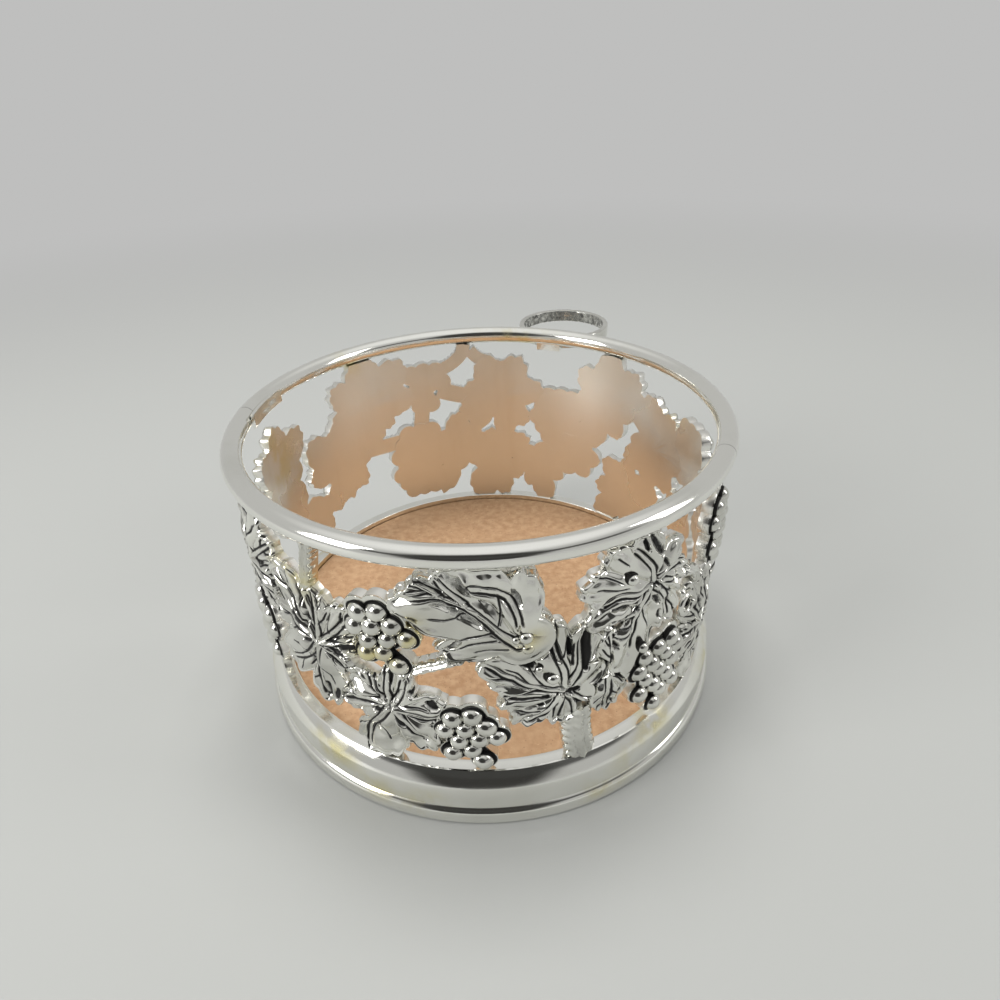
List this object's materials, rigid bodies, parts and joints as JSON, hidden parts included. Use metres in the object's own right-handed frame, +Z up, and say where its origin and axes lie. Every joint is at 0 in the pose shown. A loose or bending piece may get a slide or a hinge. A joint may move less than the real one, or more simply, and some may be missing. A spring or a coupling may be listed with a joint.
{
  "type": "wine bottle coaster",
  "caption": "Round silver-plated wine bottle coaster with a pierced vine-leaf and grape gallery, a cork floor, and a small stopper ring at the back of the rim.",
  "frame": {"origin": "centre of the foot, on the surface that the coaster stands on", "axes": "+Z up through the middle of the coaster; the pictured front is -Y, +X is to its right, and the stopper ring stands out near +Y, 21 degrees towards +X"},
  "size_m": [0.1176, 0.1397, 0.0702],
  "materials": {
    "silver_plate": "polished silver plate with light yellow-brown tarnish",
    "antique_silver": "cast silver plate, blackened in the hollows and rubbed bright on the high parts, satin inside",
    "cork": "fine agglomerated cork, matt",
    "core_wood": "plain turned wood, unfinished",
    "felt": "dark green wool felt"
  },
  "bodies": {
    "root": {"base_ring": "silver_plate", "rim_front": "silver_plate", "rim_rear": "silver_plate", "stopper_ring": "silver_plate", "ring_lug": "silver_plate", "core_disc": "core_wood", "cork_pad": "cork", "felt_pad": "felt", "vine_leaf_1": "antique_silver", "vine_leaf_2": "antique_silver", "vine_leaf_3": "antique_silver", "vine_leaf_4": "antique_silver", "vine_leaf_5": "antique_silver", "vine_leaf_6": "antique_silver", "vine_leaf_7": "antique_silver", "vine_leaf_8": "antique_silver", "vine_leaf_9": "antique_silver", "vine_leaf_10": "antique_silver", "vine_leaf_11": "antique_silver", "vine_leaf_12": "antique_silver", "vine_leaf_13": "antique_silver", "vine_leaf_14": "antique_silver", "vine_leaf_15": "antique_silver", "vine_leaf_16": "antique_silver", "vine_leaf_17": "antique_silver", "vine_leaf_18": "antique_silver", "vine_leaf_19": "antique_silver", "vine_leaf_20": "antique_silver", "vine_leaf_21": "antique_silver", "vine_leaf_22": "antique_silver", "grape_bunch_1": "antique_silver", "grape_bunch_2": "antique_silver", "grape_bunch_3": "antique_silver", "grape_bunch_4": "antique_silver", "grape_bunch_5": "antique_silver", "grape_bunch_6": "antique_silver", "grape_bunch_7": "antique_silver", "grape_bunch_8": "antique_silver", "grape_bunch_9": "antique_silver", "grape_bunch_10": "antique_silver", "vine_stem_1": "antique_silver", "vine_stem_2": "antique_silver", "vine_stem_3": "antique_silver", "vine_stem_4": "antique_silver", "vine_stem_5": "antique_silver", "vine_stem_6": "antique_silver", "vine_stem_7": "antique_silver", "vine_stem_8": "antique_silver", "vine_stem_9": "antique_silver"}
  },
  "joints": []
}
